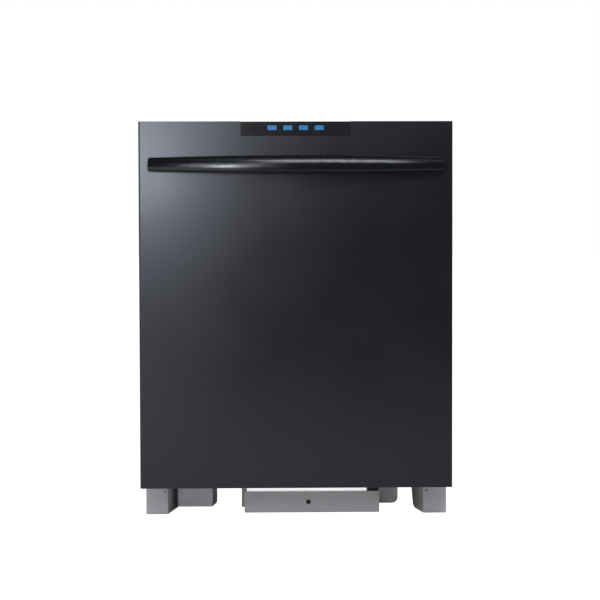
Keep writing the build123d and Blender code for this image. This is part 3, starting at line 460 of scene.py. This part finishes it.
def lathed(profile, centre, axis, sides):
    """A profile of (radius, height) turned about an axis through the centre, closed at both ends."""
    centre = Vector(centre)
    along = {"X": Vector((1, 0, 0)), "Y": Vector((0, 1, 0)), "Z": Vector((0, 0, 1))}[axis.lstrip("-")]
    if axis.startswith("-"):
        along = -along
    side = along.orthogonal().normalized()
    up = along.cross(side)
    verts, faces = [], []
    for radius, height in profile:
        for k in range(sides):
            turn = 2 * math.pi * k / sides
            verts.append(centre + along * height + (side * math.cos(turn) + up * math.sin(turn)) * radius)
    for i in range(len(profile) - 1):
        for k in range(sides):
            a, b = i * sides + k, i * sides + (k + 1) % sides
            faces.append((a, b, b + sides, a + sides))
    faces.append(tuple(reversed(range(sides))))
    faces.append(tuple(range(len(verts) - sides, len(verts))))
    return verts, faces


def rib(x0, x1, y0, y1, z0, z1, ease=0.0006):
    """Moulded rib between two corners, with eased outer edges."""
    outer, inner = (x1, x0) if abs(x1) > abs(x0) else (x0, x1)
    step = ease if outer > inner else -ease
    ring = [(inner, y0), (outer - step, y0), (outer, y0 + ease), (outer, y1 - ease), (outer - step, y1),
            (inner, y1)]
    count = len(ring)
    verts = [Vector((x, y, z)) for z in (z0, z1) for x, y in ring]
    faces = [(k, (k + 1) % count, (k + 1) % count + count, k + count) for k in range(count)]
    faces.append(tuple(reversed(range(count))))
    faces.append(tuple(range(count, 2 * count)))
    return verts, faces


def screw_head(centre, axis, radius, high):
    """Low domed head with a round recess."""
    shares = [(1, 0), (1, 0.45), (0.86, 0.82), (0.50, 1), (0.46, 1), (0.40, 0.35), (0.05, 0.30)]
    return lathed([(radius * across, high * up) for across, up in shares], centre, axis, 24)


def coil_springs():
    """The balance springs as close-wound coils with a straight tail at each end."""
    low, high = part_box("door_springs")
    wire, coil = 0.0011, 0.0068
    sleeve, tail = 0.008, 0.0155        # radius of the CAD's plain sleeve, and length past the coil
    z = high.z - sleeve
    y0, y1 = low.y + tail, high.y - tail
    turns, per_turn = 52, 18
    parts = []
    for side in (-1, 1):
        x = side * (high.x - sleeve)
        points = [(x, low.y + wire, z + coil)]
        for i in range(turns * per_turn + 1):
            turn = 2 * math.pi * i / per_turn
            y = y0 + (y1 - y0) * i / (turns * per_turn)
            points.append((x + side * coil * math.sin(turn), y, z + coil * math.cos(turn)))
        points.append((x, high.y - wire, z + coil))
        parts.append(swept(points, wire, 8))
    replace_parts(piece("spring_coils", parts, "cabinet", "galvanised"), "door_springs")


def threaded_legs():
    """The levelling legs with a cut thread and an eased hexagon at the foot."""
    crest, root, pitch, first_thread = 0.0060, 0.0054, 0.00175, 0.007
    for name in ("leg_front_left", "leg_front_right", "leg_rear_left", "leg_rear_right"):
        low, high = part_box(name)
        centre = Vector(((low.x + high.x) / 2, (low.y + high.y) / 2, low.z))
        corner = max(high.x - low.x, high.y - low.y) / 2
        first = 0.0 if high.x - low.x > high.y - low.y else math.pi / 6
        eased = corner - 0.0010
        rows = [(eased, 0.0), (corner, 0.0008), (corner, 0.0052), (eased, 0.0060)]
        verts, faces = [], []
        for radius, height in rows:
            for k in range(6):
                turn = first + math.pi * k / 3
                verts.append(centre + Vector((radius * math.cos(turn), radius * math.sin(turn), height)))
        for i in range(len(rows) - 1):
            for k in range(6):
                a, b = i * 6 + k, i * 6 + (k + 1) % 6
                faces.append((a, b, b + 6, a + 6))
        faces.append(tuple(reversed(range(6))))
        faces.append(tuple(range(len(verts) - 6, len(verts))))
        length = high.z - low.z
        profile = [(root, 0.005)]
        for i in range(int((length - 0.008) / pitch)):
            z = first_thread + i * pitch
            profile += [(root, z), (crest, z + pitch * 0.45), (crest, z + pitch * 0.55)]
        profile += [(root, length - 0.0008), (root - 0.001, length)]
        shank = lathed(profile, centre, "Z", 20)
        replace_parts(piece(name + "_thread", [(verts, faces), shank], name, "galvanised"), name)


def jet_rims():
    """A raised rim round every jet. The jets lie a fifth of the width to either side in turn."""
    ring, wire, steps = 0.0027, 0.0005, 16
    for arm, width in ARM_WIDTHS.items():
        low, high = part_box(arm)
        reach = (high.x - low.x) / 2
        top = low.z + BLADE_TOP
        y = (low.y + high.y) / 2
        parts = []
        for i in range(JETS_PER_BLADE):
            x = reach * (FIRST_JET + JET_STEP * i)
            side = width / 5 * (1 if i % 2 else -1)
            for sign in (-1, 1):
                points = []
                for k in range(steps + 1):
                    turn = 2 * math.pi * k / steps
                    points.append((sign * x + ring * math.cos(turn),
                                   y + sign * side + ring * math.sin(turn), top))
                parts.append(swept(points, wire, 6))
        piece(arm + "_jets", parts, arm, "grey_plastic")


def base_ribs():
    """Upright stiffening ribs on the outside of both base mouldings, above the leg blocks."""
    for side, name in ((-1, "base_side_left"), (1, "base_side_right")):
        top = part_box(name)[1].z - LEDGE_THICKNESS
        ends = sorted((side * WEB_X, side * RIB_EDGE_X))
        parts = []
        for i in range(RIB_COUNT):
            y = FIRST_RIB_Y + RIB_PITCH * i
            parts.append(rib(*ends, y - RIB_HALF, y + RIB_HALF, RIB_LOW_Z, top))
        piece(name + "_ribs", parts, "cabinet", "base_grey")


def bracket_screws():
    """Screws that hold the hinge brackets to the base."""
    parts = []
    low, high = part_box("hinge_brackets")
    middle = (low.z + high.z) / 2
    for side, axis in ((-1, "-X"), (1, "X")):
        x = side * (high.x - 0.0001)
        for from_rear in (0.010, 0.030):
            parts.append(screw_head((x, high.y - from_rear, middle), axis, 0.0038, 0.0010))
    piece("bracket_screws", parts, "cabinet", "galvanised")


paint_nodes()
coil_springs()
threaded_legs()
jet_rims()
base_ribs()
bracket_screws()
